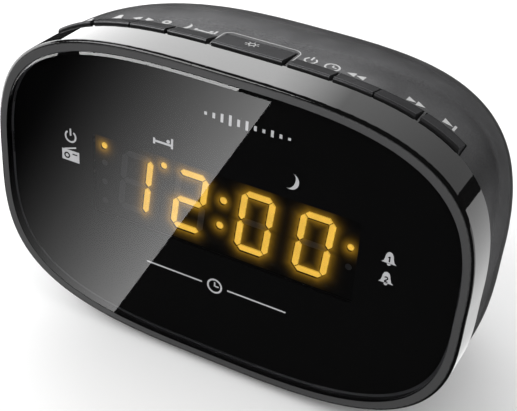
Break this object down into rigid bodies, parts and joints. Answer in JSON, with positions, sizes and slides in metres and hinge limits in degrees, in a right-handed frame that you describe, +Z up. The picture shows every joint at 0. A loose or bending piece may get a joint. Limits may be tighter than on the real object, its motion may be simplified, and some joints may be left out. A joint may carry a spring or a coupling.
{
  "type": "clock radio",
  "caption": "Small mains clock radio with a wide rounded face, dark window with amber digits, glossy front ring, domed matt case and a row of wedge keys along the top.",
  "frame": {"origin": "on the table surface, under the middle of the radio", "axes": "+X to the right of someone facing the display, +Y from the display to the back, +Z up"},
  "size_m": [0.1127, 0.06, 0.0757],
  "materials": {
    "ring_gloss": "polished black moulding",
    "window": "smoked clear acrylic, polished",
    "mask_black": "black light mask",
    "case_matt": "fine spark texture",
    "key_matt": "fine spark texture",
    "foot_rubber": "matt",
    "chassis_grey": "as moulded",
    "board_green": "solder resist",
    "switch_body": "as moulded",
    "switch_cap": "as moulded",
    "chip_black": "moulded epoxy",
    "ribbon_grey": "flat cable",
    "segment_lit": "lit amber segments",
    "segment_dark": "unlit segments",
    "display_black": "display face",
    "core_steel": "laminated",
    "coil_tape": "tape wrapped",
    "capacitor_sleeve": "shrink sleeve",
    "can_steel": "tinned",
    "contact_nickel": "nickel plated",
    "basket_steel": "zinc plated",
    "magnet_ferrite": "ferrite",
    "cone_paper": "pressed paper",
    "surround_rubber": "rolled",
    "gasket_foam": "foam",
    "grille_cloth": "woven",
    "bushing_rubber": "moulded",
    "screw_black": "black oxide",
    "screw_zinc": "zinc plated"
  },
  "bodies": {
    "radio": {"battery_contacts": "contact_nickel", "battery_springs": "contact_nickel", "battery_tray": "chassis_grey", "board_header": "chip_black", "board_screws": "screw_zinc", "capacitors": "capacitor_sleeve", "case_screws": "screw_black", "case_shell": "case_matt", "chassis": "chassis_grey", "circuit_chips": "chip_black", "dark_segments": "segment_dark", "display_block": "display_black", "display_board": "board_green", "display_window": "window", "feet": "foot_rubber", "front_ring": "ring_gloss", "grille_cloth": "grille_cloth", "key_board": "board_green", "key_board_screws": "screw_zinc", "key_switches": "switch_body", "lead_bushing": "bushing_rubber", "lit_segments": "segment_lit", "main_board": "board_green", "ribbon_cable": "ribbon_grey", "ring_screws": "screw_zinc", "speaker_basket": "basket_steel", "speaker_gasket": "gasket_foam", "speaker_magnet": "magnet_ferrite", "speaker_screws": "screw_zinc", "speaker_surround": "surround_rubber", "switch_caps": "switch_cap", "transformer_coil": "coil_tape", "transformer_core": "core_steel", "tuner_cans": "can_steel", "window_mask": "mask_black"},
    "alarm_1_key": {"alarm_1_key": "key_matt"},
    "alarm_2_key": {"alarm_2_key": "key_matt"},
    "hour_key": {"hour_key": "key_matt"},
    "minute_key": {"minute_key": "key_matt"},
    "radio_key": {"radio_key": "key_matt"},
    "sleep_key": {"sleep_key": "key_matt"},
    "snooze_key": {"snooze_key": "key_matt"},
    "tune_down_key": {"tune_down_key": "key_matt"},
    "tune_up_key": {"tune_up_key": "key_matt"},
    "battery_door": {"battery_door": "case_matt"},
    "speaker_cone": {"speaker_cone": "cone_paper"}
  },
  "joints": [
    {"name": "alarm_1_press", "type": "slide", "parent": "radio", "child": "alarm_1_key", "axis": [0, 0, -1], "range_m": [0, 0.0006], "stiffness_N_per_m": 600},
    {"name": "alarm_2_press", "type": "slide", "parent": "radio", "child": "alarm_2_key", "axis": [0, 0, -1], "range_m": [0, 0.0006], "stiffness_N_per_m": 600},
    {"name": "hour_press", "type": "slide", "parent": "radio", "child": "hour_key", "axis": [0, 0, -1], "range_m": [0, 0.0006], "stiffness_N_per_m": 600},
    {"name": "minute_press", "type": "slide", "parent": "radio", "child": "minute_key", "axis": [0, 0, -1], "range_m": [0, 0.0006], "stiffness_N_per_m": 600},
    {"name": "radio_press", "type": "slide", "parent": "radio", "child": "radio_key", "axis": [0, 0, -1], "range_m": [0, 0.0006], "stiffness_N_per_m": 600},
    {"name": "sleep_press", "type": "slide", "parent": "radio", "child": "sleep_key", "axis": [0, 0, -1], "range_m": [0, 0.0006], "stiffness_N_per_m": 600},
    {"name": "snooze_press", "type": "slide", "parent": "radio", "child": "snooze_key", "axis": [0, 0, -1], "range_m": [0, 0.0006], "stiffness_N_per_m": 600},
    {"name": "tune_down_press", "type": "slide", "parent": "radio", "child": "tune_down_key", "axis": [0, 0, -1], "range_m": [0, 0.0006], "stiffness_N_per_m": 600},
    {"name": "tune_up_press", "type": "slide", "parent": "radio", "child": "tune_up_key", "axis": [0, 0, -1], "range_m": [0, 0.0006], "stiffness_N_per_m": 600},
    {"name": "battery_door_slide", "type": "slide", "parent": "radio", "child": "battery_door", "axis": [0, 1, 0], "range_m": [0, 0.03]},
    {"name": "speaker_cone_stroke", "type": "slide", "parent": "radio", "child": "speaker_cone", "axis": [0, 1, 0], "range_m": [-0.0005, 0.0005], "stiffness_N_per_m": 1500}
  ]
}
